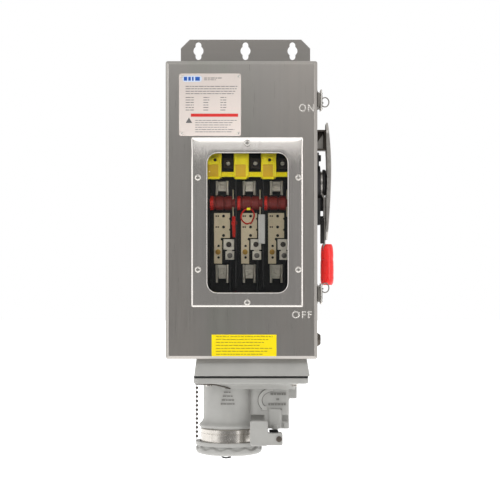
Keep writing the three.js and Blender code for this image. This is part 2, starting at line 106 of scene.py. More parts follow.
# ---- mesh helpers ----
def spot(axis, u, v, w):
    """A point from its coordinate w along an axis and its other two coordinates, in X, Y, Z order."""
    return Vector({"x": (w, u, v), "y": (u, w, v), "z": (u, v, w)}[axis])


def loft(loops, closed=False):
    """Faces between loops of equally many points, in millimetres; an open loft gets end caps."""
    bm = bmesh.new()
    rows = [[bm.verts.new(point * MM) for point in loop] for loop in loops]
    pairs = list(zip(rows, rows[1:]))
    if closed:
        pairs.append((rows[-1], rows[0]))
    else:
        bm.faces.new(rows[0])
        bm.faces.new(rows[-1])
    for a, b in pairs:
        for i in range(len(a)):
            j = (i + 1) % len(a)
            bm.faces.new((a[i], a[j], b[j], b[i]))
    bmesh.ops.recalc_face_normals(bm, faces=bm.faces)
    return bm


def arc(cu, cv, r, start, end, steps):
    """Points of an arc as (u, v) pairs; angles in degrees."""
    angles = [math.radians(start + (end - start) * i / steps) for i in range(steps + 1)]
    return [(cu + r * math.cos(a), cv + r * math.sin(a)) for a in angles]


def round_rectangle(u0, u1, v0, v1, r, steps=6, straight=0):
    """A rectangle with round corners and some points added along each straight side."""
    corners = [
        arc(u1 - r, v0 + r, r, -90, 0, steps),
        arc(u1 - r, v1 - r, r, 0, 90, steps),
        arc(u0 + r, v1 - r, r, 90, 180, steps),
        arc(u0 + r, v0 + r, r, 180, 270, steps),
    ]
    outline = []
    for corner, following in zip(corners, corners[1:] + corners[:1]):
        (p, q), (s, t) = corner[-1], following[0]
        shares = [k / (straight + 1) for k in range(1, straight + 1)]
        outline += corner + [(p + (s - p) * k, q + (t - q) * k) for k in shares]
    return outline


def prism(axis, outline, start, end):
    return loft([[spot(axis, u, v, w) for u, v in outline] for w in (start, end)])


def block(x0, x1, y0, y1, z0, z1):
    return prism("z", [(x0, y0), (x1, y0), (x1, y1), (x0, y1)], z0, z1)


def lathe(axis, cu, cv, profile, steps=48, closed=False, wobble=None):
    """A turned shape. The profile is (radius, place along the axis); wobble(angle, w) changes the radius."""
    def ring(r, w):
        points = []
        for i in range(steps):
            a = 2 * math.pi * i / steps
            rr = max(r + (wobble(a, w) if wobble else 0), 0.001)
            points.append(spot(axis, cu + rr * math.cos(a), cv + rr * math.sin(a), w))
        return points

    bm = loft([ring(r, w) for r, w in profile], closed)
    bmesh.ops.remove_doubles(bm, verts=bm.verts, dist=0.004 * MM)
    return bm


def sweep(path, radius, sides=12, closed=False):
    """A round bar along a path; radius is a number or one number for each point."""
    points = [Vector(p) for p in path]
    count = len(points)
    radii = radius if isinstance(radius, (list, tuple)) else [radius] * count
    loops = []
    normal = None
    for i, point in enumerate(points):
        if closed:
            tangent = points[(i + 1) % count] - points[i - 1]
        else:
            tangent = points[min(i + 1, count - 1)] - points[max(i - 1, 0)]
        tangent.normalize()
        if normal is None:
            guide = Vector((0, 0, 1)) if abs(tangent.z) < 0.9 else Vector((1, 0, 0))
            normal = tangent.cross(guide).normalized()
        normal = (normal - tangent * normal.dot(tangent)).normalized()
        side = tangent.cross(normal)
        turn = [2 * math.pi * k / sides for k in range(sides)]
        loops.append([point + (normal * math.cos(t) + side * math.sin(t)) * radii[i] for t in turn])
    return loft(loops, closed)


def smooth_path(points, steps=10):
    """Catmull-Rom curve through the points."""
    p = [Vector(q) for q in points]
    p = [2 * p[0] - p[1], *p, 2 * p[-1] - p[-2]]
    curve = []
    for a, b, c, d in zip(p, p[1:], p[2:], p[3:]):
        for i in range(steps):
            t = i / steps
            curve.append(0.5 * (
                2 * b + (c - a) * t + (2 * a - 5 * b + 4 * c - d) * t**2 + (3 * b - a - 3 * c + d) * t**3
            ))
    return [*curve, p[-2]]


def merged(*parts):
    """One bmesh of several closed bodies that stand apart or sit in each other."""
    whole = bmesh.new()
    for part in parts:
        mesh = bpy.data.meshes.new("part")
        part.to_mesh(mesh)
        part.free()
        whole.from_mesh(mesh)
        bpy.data.meshes.remove(mesh)
    return whole


def cad_shape(node):
    """A CAD node's faceted solid with its flat faces made whole, ready for bevelling."""
    bm = bmesh.new()
    bm.from_mesh(frame["nodes"][node].data)
    bmesh.ops.remove_doubles(bm, verts=bm.verts, dist=0.002 * MM)
    bmesh.ops.dissolve_limit(bm, angle_limit=math.radians(0.5), verts=bm.verts, edges=bm.edges)
    return bm


def bevelled(bm, width, segments=2, angle=30):
    """Rounds every edge sharper than the angle."""
    limit = math.radians(angle)
    edges = [e for e in bm.edges if len(e.link_faces) == 2 and e.calc_face_angle(0) > limit]
    bmesh.ops.bevel(
        bm, geom=edges, offset=width * MM, segments=segments, profile=0.5, affect="EDGES", clamp_overlap=True,
    )
    return bm


def to_object(bm, name="temporary"):
    mesh = bpy.data.meshes.new(name)
    bm.to_mesh(mesh)
    bm.free()
    obj = bpy.data.objects.new(name, mesh)
    bpy.context.scene.collection.objects.link(obj)
    return obj


def baked(obj):
    """The object's mesh with its modifiers applied, as a bmesh; the object is removed."""
    bpy.context.view_layer.update()
    evaluated = obj.evaluated_get(bpy.context.evaluated_depsgraph_get())
    mesh = bpy.data.meshes.new_from_object(evaluated)
    bm = bmesh.new()
    bm.from_mesh(mesh)
    bpy.data.meshes.remove(mesh)
    bpy.data.meshes.remove(obj.data)
    return bm


def boolean(whole, tool, operation="DIFFERENCE"):
    target = to_object(whole)
    other = to_object(tool, "tool")
    modifier = target.modifiers.new("cut", "BOOLEAN")
    modifier.operation = operation
    modifier.solver = "EXACT"
    modifier.use_self = True
    modifier.object = other
    result = baked(target)
    bpy.data.meshes.remove(other.data)
    return result


def cast(whole, voxel, rounds):
    """Melts joined bodies together with the soft fillets of a casting."""
    target = to_object(whole)
    remesh = target.modifiers.new("melt", "REMESH")
    remesh.mode = "VOXEL"
    remesh.voxel_size = voxel * MM
    soften = target.modifiers.new("soften", "SMOOTH")
    soften.factor = 0.5
    soften.iterations = rounds
    return baked(target)


def piece(name, bm, material, replaces=(), flat_angle=40, body="enclosure"):
    """Makes the named piece from a bmesh with the material, shades it and puts it on its body."""
    obj = to_object(bm, name)
    mesh = obj.data
    mesh.materials.append(material)
    mesh.shade_smooth()
    mesh.set_sharp_from_angle(angle=math.radians(flat_angle))
    weighted = obj.modifiers.new("weighted", "WEIGHTED_NORMAL")
    weighted.keep_sharp = True
    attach(obj, body)
    if replaces:
        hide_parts(*replaces)
    return obj


def refined(node, material, width=0.4, segments=2):
    """The CAD node's own shape with rounded edges and its final material."""
    body = frame["nodes"][node]["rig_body"]
    bm = bevelled(cad_shape(node), width, segments)
    return piece(f"{node}_surface", bm, material, [node], body=body)


# ---- materials ----
def linear(red, green, blue):
    """Scene-linear colour from 0-255 display values."""
    def channel(value):
        value /= 255
        return value / 12.92 if value <= 0.04045 else ((value + 0.055) / 1.055) ** 2.4

    return (channel(red), channel(green), channel(blue), 1.0)


class Shader:
    """A material's node tree with a Principled shader, built by short calls."""

    def __init__(self, name, colour, roughness, metallic=0.0):
        self.material = bpy.data.materials.new(name)
        self.material.use_nodes = True
        self.tree = self.material.node_tree
        self.main = self.tree.nodes["Principled BSDF"]
        self.main.inputs["Base Color"].default_value = colour
        self.main.inputs["Roughness"].default_value = roughness
        self.main.inputs["Metallic"].default_value = metallic
        self.place = self.tree.nodes.new("ShaderNodeTexCoord").outputs["Object"]

    def node(self, kind, **inputs):
        made = self.tree.nodes.new(kind)
        for key, value in inputs.items():
            socket = made.inputs[key.replace("_", " ")]
            if isinstance(value, bpy.types.NodeSocket):
                self.tree.links.new(value, socket)
            else:
                socket.default_value = value
        return made

    def noise(self, scale, detail=4.0, stretch=(1, 1, 1), roughness=0.6):
        mapping = self.node("ShaderNodeMapping", Vector=self.place, Scale=stretch)
        made = self.node(
            "ShaderNodeTexNoise", Vector=mapping.outputs[0], Scale=scale, Detail=detail, Roughness=roughness,
        )
        return made.outputs["Fac"]

    def span(self, value, low, high, start=0.3, end=0.7):
        """Maps a value's range start..end to low..high."""
        made = self.node("ShaderNodeMapRange", Value=value)
        for key, number in zip(("From Min", "From Max", "To Min", "To Max"), (start, end, low, high)):
            made.inputs[key].default_value = number
        return made.outputs["Result"]

    def ramp(self, value, stops):
        made = self.node("ShaderNodeValToRGB", Fac=value)
        elements = made.color_ramp.elements
        while len(elements) < len(stops):
            elements.new(0.5)
        for element, (position, colour) in zip(elements, stops):
            element.position = position
            element.color = colour
        return made.outputs["Color"]

    def mix(self, a, b, factor, blend="MIX"):
        made = self.tree.nodes.new("ShaderNodeMix")
        made.data_type = "RGBA"
        made.blend_type = blend
        for index, value in ((0, factor), (6, a), (7, b)):
            if isinstance(value, bpy.types.NodeSocket):
                self.tree.links.new(value, made.inputs[index])
            else:
                made.inputs[index].default_value = value
        return made.outputs[2]

    def link(self, value, name):
        self.tree.links.new(value, self.main.inputs[name])

    def bump(self, value, strength, distance):
        made = self.node("ShaderNodeBump", Height=value, Strength=strength, Distance=distance * MM)
        previous = self.main.inputs["Normal"].links
        if previous:
            self.tree.links.new(previous[0].from_socket, made.inputs["Normal"])
        self.link(made.outputs["Normal"], "Normal")

    def set(self, **inputs):
        for key, value in inputs.items():
            self.main.inputs[key.replace("_", " ")].default_value = value
        return self

    def edges(self, low=0.48, high=0.56):
        """1 on worn convex edges, 0 elsewhere."""
        geometry = self.tree.nodes.new("ShaderNodeNewGeometry")
        return self.span(geometry.outputs["Pointiness"], 0.0, 1.0, low, high)


def shade(colour, factor):
    return (*[min(1.0, c * factor) for c in colour[:3]], 1.0)


def brushed(name, colour, roughness, grain="z", zones=0.06, wave=0.2):
    """Brushed stainless steel with grain along one axis and soft tonal bands."""
    s = Shader(name, colour, roughness, 1.0)
    fine = {"z": (1, 1, 0.012), "x": (0.012, 1, 1), "y": (1, 0.012, 1)}[grain]
    wide = {"z": (1, 1, 0.08), "x": (0.08, 1, 1), "y": (1, 0.08, 1)}[grain]
    hairline = s.noise(1400, 3, fine)
    streak = s.noise(220, 4, fine)
    band = s.noise(14, 2, wide)
    warm = (colour[0] * (1 + zones), colour[1] * (1 + zones * 0.7), colour[2] * (1 + zones * 0.5), 1)
    cool = (colour[0] * (1 - zones), colour[1] * (1 - zones * 0.5), colour[2] * (1 - zones), 1)
    tone = s.ramp(band, [(0.35, cool), (0.5, colour), (0.65, warm)])
    streaked = s.mix(tone, shade(colour, 0.88), s.span(streak, 0.0, 0.3, 0.45, 0.75))
    s.link(s.mix(streaked, shade(colour, 1.1), s.span(hairline, 0.0, 0.15)), "Base Color")
    s.link(s.span(hairline, roughness - 0.03, roughness + 0.05), "Roughness")
    s.bump(hairline, 0.05, 0.01)
    s.bump(s.noise(9, 2), 0.2, wave)
    return s.material


def plated(name, colour, roughness=0.25, metallic=1.0):
    """Bright plated or stamped metal with fine handling marks and dull patches."""
    s = Shader(name, colour, roughness, metallic)
    dull = s.noise(90, 5)
    s.link(s.mix(colour, shade(colour, 0.72), s.span(dull, 0.0, 0.5, 0.45, 0.75)), "Base Color")
    s.link(s.span(s.noise(120, 3), roughness - 0.05, roughness + 0.08), "Roughness")
    s.bump(s.noise(500, 2), 0.04, 0.01)
    return s.material


def painted_casting(name, colour):
    """Light grey paint over a sand casting: grainy, with rubbed edges and painted shade darkening the
    hollows.
    """
    s = Shader(name, colour, 0.42)
    blotch = s.noise(35, 4)
    tone = s.mix(shade(colour, 0.93), shade(colour, 1.05), s.span(blotch, 0.0, 1.0))
    geometry = s.tree.nodes.new("ShaderNodeNewGeometry")
    # painted shade: the paint is darkened in concave hollows, standing in for the shade that falls there
    hollow = s.span(geometry.outputs["Pointiness"], 1.0, 0.0, 0.42, 0.49)
    hollow_shaded = s.mix(tone, shade(colour, 0.55), s.span(hollow, 0.0, 0.45, 0.0, 1.0))
    s.link(s.mix(hollow_shaded, shade(colour, 1.22), s.span(s.edges(0.52, 0.6), 0.0, 0.4, 0.0, 1.0)), "Base Color")
    s.link(s.span(s.noise(160, 3), 0.34, 0.52), "Roughness")
    s.bump(s.noise(420, 4), 0.35, 0.18)
    s.bump(s.noise(1500, 2), 0.2, 0.06)
    return s.set(Specular_IOR_Level=0.45).material


def moulded(name, colour, roughness, grain=600, depth=0.05, spread=0.12, coat=0.0):
    """Moulded plastic or rubber with a fine grain, slight colour variation and rubbed edges."""
    s = Shader(name, colour, roughness)
    cloud = s.noise(30, 3)
    tone = s.mix(shade(colour, 1 - spread), shade(colour, 1 + spread), s.span(cloud, 0.0, 1.0))
    s.link(s.mix(tone, shade(colour, 1.35), s.span(s.edges(0.53, 0.62), 0.0, 0.35, 0.0, 1.0)), "Base Color")
    s.link(s.span(s.noise(grain / 3, 4), roughness - 0.06, roughness + 0.08), "Roughness")
    s.bump(s.noise(grain, 3), 0.25, depth)
    if coat:
        s.set(Coat_Weight=coat, Coat_Roughness=0.12)
    return s.material


def printed(name, colour, roughness=0.4):
    """A printed or painted face with faint scuffs."""
    s = Shader(name, colour, roughness)
    scuff = s.noise(300, 5, (1, 1, 3))
    s.link(s.mix(colour, shade(colour, 0.9), s.span(scuff, 0.0, 0.5, 0.5, 0.8)), "Base Color")
    s.link(s.span(s.noise(60, 3), roughness - 0.08, roughness + 0.1), "Roughness")
    s.bump(s.noise(500, 2), 0.1, 0.02)
    return s.set(Specular_IOR_Level=0.3).material


def clear_sheet(name):
    """Clear polycarbonate with faint dust; mostly transparent, with a gloss of its own."""
    s = Shader(name, (0.05, 0.055, 0.055, 1), 0.04)
    s.link(s.span(s.noise(40, 4), 0.03, 0.1), "Roughness")
    s.link(s.span(s.noise(25, 5), 0.03, 0.06), "Alpha")
    return s.material


STEEL = linear(176, 172, 167)
stainless = brushed("stainless_vertical", STEEL, 0.3)
stainless_side = brushed("stainless_side", shade(STEEL, 1.1), 0.34, "x", 0.05)
# painted shade: the rear panel's steel is a darker copy of the door's steel, standing in for the shade the
# panel lies in
stainless_rear_painted_shade = brushed("stainless_rear_painted_shade", shade(STEEL, 0.66), 0.34, "x", 0.05)
frame_steel = brushed("stainless_frame", linear(218, 213, 208), 0.2, "z", 0.02, 0.05)
ring_steel = plated("ring_steel", linear(150, 145, 138), 0.32)
latch_steel = plated("latch_steel", linear(134, 130, 124), 0.42)
polished_edge = plated("polished_edge", linear(190, 186, 180), 0.3)
bright = plated("bright_plate", linear(214, 210, 204), 0.24)
dark_steel = plated("dark_steel", linear(92, 86, 80), 0.45)
polished = plated("polished_aluminium", linear(208, 203, 196), 0.2)
silver = plated("silver_contact", linear(214, 208, 192), 0.4, 0.5)
tinned = plated("tinned_copper", linear(212, 198, 166), 0.45, 0.55)
brass = plated("brass", linear(190, 150, 80), 0.35)
casting = painted_casting("casting_paint", linear(168, 167, 163))
# painted shade: a darker copy of the casting paint, standing in for the shade round and on the raised arrow
# and letters
casting_painted_shade = painted_casting("casting_painted_shade", linear(118, 117, 113))
black = moulded("black_moulding", linear(34, 33, 33), 0.55)
rubber = moulded("black_rubber", linear(26, 26, 26), 0.8, 900, 0.06)
grip_red = moulded("grip_red", linear(238, 30, 26), 0.3, 800, 0.02, 0.06, 0.35)
dark_red = moulded("dark_red_moulding", linear(112, 34, 28), 0.42)
bright_red = moulded("bright_red_moulding", linear(190, 36, 26), 0.4)
yellow = moulded("yellow_moulding", linear(255, 230, 16), 0.42, 500, 0.03, 0.06)
# painted shade: a darker copy of the yellow moulding for the comb's slopes, which face away from the light
yellow_painted_shade = moulded("yellow_moulding_painted_shade", linear(222, 178, 30), 0.5, 500, 0.03, 0.06)
pale_grey = moulded("pale_grey_moulding", linear(168, 166, 160), 0.5)
wire_red = moulded("red_insulation", linear(186, 30, 22), 0.35)
wire_black = moulded("black_insulation", linear(30, 30, 30), 0.4)
wire_green = moulded("green_insulation", linear(30, 118, 58), 0.4)
plate_white = printed("plate_white", linear(215, 204, 197), 0.42)
ink_grey = printed("ink_grey", linear(104, 102, 102))
ink_blue = printed("ink_blue", linear(42, 92, 178))
ink_pale_blue = printed("ink_pale_blue", linear(206, 218, 236))
ink_red = printed("ink_red", linear(206, 52, 48))
label_yellow = printed("label_yellow", linear(241, 217, 3), 0.5)
ink_brown = printed("ink_brown", linear(166, 148, 30))
letter_silver = printed("letter_silver", linear(198, 194, 188), 0.45)
glass = clear_sheet("clear_polycarbonate")


# ---- the chain, which hangs beside the receptacle ----
def bead_chain():
    """Beads on a thin link wire, from the eye under the flange down to the lug on the cap."""
    x0, x1, y0, y1, z0, z1 = extent("bead_chain")
    x, y, bead = (x0 + x1) / 2, (y0 + y1) / 2, 2.0
    pitch = 6.2
    count = int((z1 - z0) / pitch)
    rest = (z1 - z0 - count * pitch) / 2 + pitch / 2
    parts = [sweep([(x, y, z0), (x, y, z1)], 0.5, 8)]
    for i in range(count):
        z = z1 - rest - i * pitch
        profile = [(bead * math.sin(a), z - bead * math.cos(a)) for a in
                   [math.pi * k / 10 for k in range(11)]]
        parts.append(lathe("z", x, y, profile, 14))
    chain = to_object(merged(*parts), "bead_chain_links")
    chain.data.materials.append(dark_steel)
    chain.data.shade_smooth()
    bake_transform(chain)
    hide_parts("bead_chain")


bead_chain()


# ---- door ----
RIM = 4.2  # the radius of the door's rolled edge
SHEET = 1.9


def ring_loops(profile, straight=0):
    """Loops for a flat ring from (x0, x1, z0, z1, corner radius, y) rows."""
    return [
        [spot("y", u, v, y) for u, v in round_rectangle(x0, x1, z0, z1, r, 6, straight)]
        for x0, x1, z0, z1, r, y in profile
    ]


def inset(box, amount, r, y):
    x0, x1, z0, z1 = box
    return (x0 + amount, x1 - amount, z0 + amount, z1 - amount, max(r - amount, 0.3), y)


def door_panel():
    """Pan with rolled edges, a return skirt and the rounded window cut-out."""
    x0, x1, front, back, z0, z1 = extent("door")
    outer = (x0, x1, z0, z1)
    view = [a for i, a in enumerate(extent("window_frame")) if i not in (2, 3)]
    hole = (view[0] + 19, view[1] - 19, view[2] + 17.5, view[3] - 19)
    corner = 3.0
    quarter = [math.radians(a) for a in range(0, 91, 15)]
    bend = [(4.4, 0), (3.8, 0.25), (0.9, 2.4), (0.2, 3.2), (0, 4.2)]
    rolled = [inset(outer, a, corner, front + b) for a, b in bend]
    inner_r = RIM - SHEET
    lining = [
        inset(outer, SHEET + inner_r * (1 - math.sin(a)), corner, front + SHEET + inner_r * (1 - math.cos(a)))
        for a in quarter
    ]
    profile = [
        (*hole, 15, front), *rolled, inset(outer, 0, corner, back - 0.4), inset(outer, 0.4, corner, back),
        inset(outer, SHEET - 0.4, corner, back), inset(outer, SHEET, corner, back - 0.4), *reversed(lining),
        (*hole, 15, front + SHEET),
    ]
    piece("door_panel", loft(ring_loops(profile), True), stainless, ["door"], body="door_panel")


def window():
    """Raised frame with bevelled edges, gasket, pane and the retainer behind."""
    x0, x1, front, back, z0, z1 = extent("window_frame")
    outer = (x0, x1, z0, z1)
    view = (x0 + 21.7, x1 - 21, z0 + 19.9, z1 - 21.4)
    r = 13.0

    def opening(amount, y):
        return (view[0] - amount, view[1] + amount, view[2] - amount, view[3] + amount, r + amount, y)

    rim, lip = inset(outer, 3.2, 2, front), opening(1.4, front)
    shares = [0, 0.25, 0.5, 0.75, 1]
    face = [[a + (b - a) * share for a, b in zip(rim, lip)] for share in shares]
    for row, share in zip(face, shares):
        row[4] = rim[4] + (lip[4] - rim[4]) * share**0.4
    profile = [
        inset(outer, 0, 2, back), inset(outer, 0, 2, back - 0.3), inset(outer, 0.1, 2, front + 1.1),
        inset(outer, 1.2, 2, front + 0.25), *face, opening(0.5, front + 0.3), opening(0, front + 1.0),
        opening(0, back),
    ]
    loops = ring_loops(profile, 24)
    for loop in loops[2:-1]:
        for point in loop:
            rise = max(0.0, 1 - (z1 - point.z) / 36)
            point.y = min(point.y + 2.55 * rise**1.35, back - 0.2)
    piece("window_frame_bezel", loft(loops, True), frame_steel, ["window_frame"], body="door_panel")
    refined("window_gasket", rubber, 0.2)
    refined("window_retainer", stainless, 0.3)
    refined("door_gasket", rubber, 1.2, 3)
    refined("window_pane", glass, 0.3)


def screw_shape(x, y, z, r, height, axis="y"):
    """A pan head with a cross recess, facing -Y."""
    head = lathe("y", x, z, [
        (0, y), (r, y), (r, y - 0.35 * height), (0.93 * r, y - 0.62 * height), (0.74 * r, y - 0.86 * height),
        (0.4 * r, y - height), (0, y - height),
    ], 28)
    slot_length, slot_width = 0.62 * r, 0.15 * r
    deep = y - 0.35 * height
    across = block(x - slot_length, x + slot_length, y - 2 * height, deep, z - slot_width, z + slot_width)
    upright = block(x - slot_width, x + slot_width, y - 2 * height, deep, z - slot_length, z + slot_length)
    return boolean(boolean(head, across), upright)


def window_screws():
    """Six pan-head screws round the window frame."""
    x0, x1, front, _, z0, z1 = extent("window_frame")
    middle = (x0 + x1) / 2
    places = [(middle, z1 - 7.4), (middle, z0 + 6.3)]
    places += [(x, z) for x in (x0 + 8.8, x1 - 6.4) for z in (z1 - 54.2, z0 + 50.8)]
    for i, (x, z) in enumerate(places):
        piece(f"window_screw_{i + 1}", screw_shape(x, front, z, 4.3, 2.6), bright, body="door_panel")


def text_bars(rows, y, thick=0.12):
    """Rows of short bars that stand for print. A row is (x0, x1, z, height)."""
    random.seed(7)
    bars = []
    for x0, x1, z, height in rows:
        x = x0
        while x < x1 - 1:
            wide = min(random.uniform(2.2, 7.5), x1 - x)
            bars.append(block(x, x + wide, y - thick, y, z - height / 2, z + height / 2))
            x += wide + 0.9
    return merged(*bars)


def rating_plate():
    """Riveted plate with generic print: a plain blue bar, grey rows and a red band."""
    x0, x1, front, _, z0, z1 = extent("rating_plate")
    refined("rating_plate", plate_white, 0.25)
    title = [(x0 + 34, x0 + 58, z1 - 6.2, 1.0), (x0 + 34, x0 + 50, z1 - 8.6, 0.8)]
    body = [(x0 + 9, x0 + 80 - (i * 13) % 11, z1 - 17.5 - 3.3 * i, 0.9) for i in range(4)]
    table = []
    for i in range(6):
        z = z1 - 32.5 - 3.4 * i
        table += [(x0 + 9, x0 + 20, z, 0.9), (x0 + 33, x0 + 41, z, 0.9), (x0 + 56, x0 + 64, z, 0.9)]
    notes = [(x0 + 22, x0 + 78 - (i * 17) % 13, z1 - 63.5 - 3.1 * i, 0.8) for i in range(6)]
    piece("rating_print", text_bars(title + body + table + notes, front), ink_grey, body="door_panel")
    halo = prism("y", round_rectangle(x0 + 4.6, x0 + 31, z1 - 11.4, z1 - 3, 3.8), front - 0.06, front)
    piece("rating_halo", halo, ink_pale_blue, body="door_panel")
    blocks = [block(x0 + u, x0 + u + w, front - 0.12, front, z1 - 9.8, z1 - 4.6)
              for u, w in ((6.6, 4.4), (12.6, 3.4), (17.6, 2.2), (22, 6.2))]
    piece("rating_mark", merged(*blocks), ink_blue, body="door_panel")
    band = block(x0 + 16, x0 + 80, front - 0.12, front, z1 - 58.6, z1 - 54.4)
    piece("rating_band", band, ink_red, body="door_panel")
    sign = prism("y", [(x0 + 9, z1 - 67), (x0 + 18, z1 - 67), (x0 + 13.5, z1 - 59.6)], front - 0.12, front)
    piece("rating_sign", sign, ink_grey, body="door_panel")
    for i, (x, z) in enumerate([(x, z) for x in (x0 + 4, x1 - 3.4) for z in (z0 + 3.4, z1 - 4)]):
        profile = [(0, front), (1.9, front), (1.75, front - 0.6), (1.1, front - 1), (0, front - 1.1)]
        dome = lathe("y", x, z, profile, 20)
        piece(f"rating_rivet_{i + 1}", dome, bright, body="door_panel")


def caution_label():
    x0, x1, front, _, _, z1 = extent("caution_label")
    refined("caution_label", label_yellow, 0.1)
    rows = [(x0 + 6, x1 - 5 - (i * 29) % 23, z1 - 2.6 - 4.0 * i, 1.2) for i in range(7)]
    piece("caution_print", text_bars(rows, front, 0.08), ink_brown, body="door_panel")


def embossed_word(word, x, z, width, height, front):
    """Raised block letters fitted to a width and height, with their lower left corner at x, z."""
    curve = bpy.data.curves.new(word, "FONT")
    curve.body = word
    curve.extrude = 0.5
    curve.offset = 0.012
    curve.space_character = 1.25
    obj = bpy.data.objects.new(word, curve)
    bpy.context.scene.collection.objects.link(obj)
    bpy.context.view_layer.update()
    mesh = bpy.data.meshes.new_from_object(obj.evaluated_get(bpy.context.evaluated_depsgraph_get()))
    bpy.data.objects.remove(obj)
    bm = bmesh.new()
    bm.from_mesh(mesh)
    bmesh.ops.remove_doubles(bm, verts=bm.verts, dist=1e-5)
    low = [min(v.co[i] for v in bm.verts) for i in range(3)]
    high = [max(v.co[i] for v in bm.verts) for i in range(3)]
    for v in bm.verts:
        u = (v.co.x - low[0]) / (high[0] - low[0]) * width
        w = (v.co.y - low[1]) / (high[1] - low[1]) * height
        out = (v.co.z - low[2]) / (high[2] - low[2])
        v.co = Vector((x + u, front - 0.5 * out, z + w)) * MM
    bmesh.ops.recalc_face_normals(bm, faces=bm.faces)
    piece(f"mark_{word.lower()}", bm, letter_silver, body="door_panel")


def door_marks():
    front = extent("door")[2]
    embossed_word("ON", 74, 133, 20, 10.6, front)
    embossed_word("OFF", 64.4, -146.6, 27, 9.6, front)


door_panel()
window()
window_screws()
rating_plate()
caution_label()
door_marks()


# ---- enclosure ----
def enclosure():
    refined("rear_panel", stainless_rear_painted_shade, 0.4)
    refined("enclosure_shell", stainless_side, 0.7, 3)
    for node in ("hinge_leaf_body", "hinge_leaf_door"):
        refined(node, stainless_side, 0.25)
    x0, x1, y0, y1, z0, z1 = extent("hinge_pin")
    x, y, r = (x0 + x1) / 2, (y0 + y1) / 2, (x1 - x0) / 2
    pin = lathe("z", x, y, [(0, z0), (r, z0), (r, z1), (0, z1)], 24)
    piece("hinge_pin_rod", bevelled(pin, 0.3), bright, ["hinge_pin"])
    x0, x1, y0, y1, z0, z1 = extent("side_plug")
    y, z, r = (y0 + y1) / 2, (z0 + z1) / 2, (z1 - z0) / 2
    profile = [(0, x0), (r, x0), (r, x0 + 1.6), (0.93 * r, x0 + 2.2), (0.6 * r, x1), (0, x1)]
    plug = lathe("x", y, z, profile, 6)
    piece("side_plug_cap", bevelled(plug, 0.5, 3), dark_steel, ["side_plug"])


def latches():
    """Base, lever and keeper of each draw latch, with a round wire bail and pull ring."""
    for side in ("upper", "lower"):
        for part, width in (("keeper", 0.3), ("base", 0.35), ("lever", 0.45)):
            refined(f"latch_{part}_{side}", latch_steel, width)
        x0, x1, y0, y1, z0, z1 = extent(f"latch_bail_{side}")
        x, r = (x0 + x1) / 2, (x1 - x0) / 2
        loop = round_rectangle(y0 + r, y1 - r, z0 + r, z1 - r, 2.5, 5)
        bail = sweep([spot("x", u, v, x) for u, v in loop], r, 14, True)
        piece(f"latch_bail_{side}_wire", bail, bright, [f"latch_bail_{side}"], body=f"{side}_bail")
        x0, x1, y0, y1, z0, z1 = extent(f"latch_ring_{side}")
        x, y, z = (x0 + x1) / 2 - 0.3, (y0 + y1) / 2, (z0 + z1) / 2 + 1.2
        circle = [spot("y", x + 5.4 * u, z + 6.5 * v, y) for u, v in arc(0, 0, 1, 0, 360, 48)[:-1]]
        ring = sweep(circle, 0.8, 12, True)
        piece(f"latch_ring_{side}_wire", ring, ring_steel, [f"latch_ring_{side}"], body=f"{side}_ring")


PIVOT_Y, PIVOT_Z = -75.0, 41.0  # the handle's axis


def handle():
    """Bearing bracket, hub, lever, nut and the red barrel grip, under the bowed guard."""
    y, z = PIVOT_Y, PIVOT_Z
    refined("operator_bracket", black, 0.8, 3)
    collar = lathe("x", y, z, [(20.6, 101), (24, 101), (24, 106), (23.2, 106.7), (20.6, 106.7)], 64, True)
    apron = bevelled(block(101, 106.6, y - 20, y + 20, -19, z - 22), 1.0, 3)
    ledge = bevelled(block(101, 104.6, y - 16, y + 16, z + 22, 83), 0.8, 3)
    spring_box = bevelled(block(101, 112.4, y + 9.8, y + 17, 1, 24.4), 0.8, 3)
    piece("operator_cover", merged(collar, apron, ledge, spring_box), black)
    bolt = lathe("x", y, z + 34.6, [(0, 104), (5.2, 104), (5.2, 107.4), (4.4, 108), (0, 108)], 6)
    piece("operator_bolt", bevelled(bolt, 0.3), black)
    refined("handle_hub", black, 0.5)
    lever = cad_shape("handle_lever")
    for side in (y - 12, y + 6.2):
        lever = boolean(lever, block(108, 116, side, side + 5.8, -100, -46))
    piece("handle_lever_blade", bevelled(lever, 0.5), stainless_side, ["handle_lever"], body="handle")
    sleeve = bevelled(block(107.2, 112.3, y - 8.8, y + 8.8, -45.2, -9), 0.8, 3)
    piece("handle_sleeve", sleeve, black, body="handle")
    cover = lathe("x", y, z, [
        (0, 113.9), (9, 113.9), (9, 110), (18, 110), (18.6, 110.6), (18.6, 113.2),
        (16.5, 115), (11, 116), (0, 116.3),
    ], 56)
    piece("handle_cover", cover, black, body="handle")
    refined("pivot_nut", bright, 0.5)
    refined("pivot_shaft", bright, 0.4)
    x0, x1, y0, y1, z0, z1 = extent("handle_grip")
    x, y, r = (x0 + x1) / 2, (y0 + y1) / 2, (x1 - x0) / 2
    tall = z1 - z0
    profile = [(0, z0)]
    for i in range(41):
        t = i / 40
        end = 1 - 0.1 * t**2 - 0.16 * (abs(2 * t - 1) ** 7) - 0.1 * (abs(2 * t - 1) ** 16)
        groove = 0.045 * math.exp(-((t - 0.62) / 0.035) ** 2) + 0.03 * math.exp(-((t - 0.24) / 0.03) ** 2)
        profile.append((r * (end - groove), z0 + tall * t))
    profile.append((0, z1))
    barrel = lathe("z", x, y, profile, 56)
    pocket = block(x - 6.1, x - 2.3, y - 6.5, y + 6.5, z0 + 6.1, z1 + 1)
    grip = boolean(barrel, pocket)
    piece("handle_grip_barrel", grip, grip_red, ["handle_grip"], flat_angle=50, body="handle")


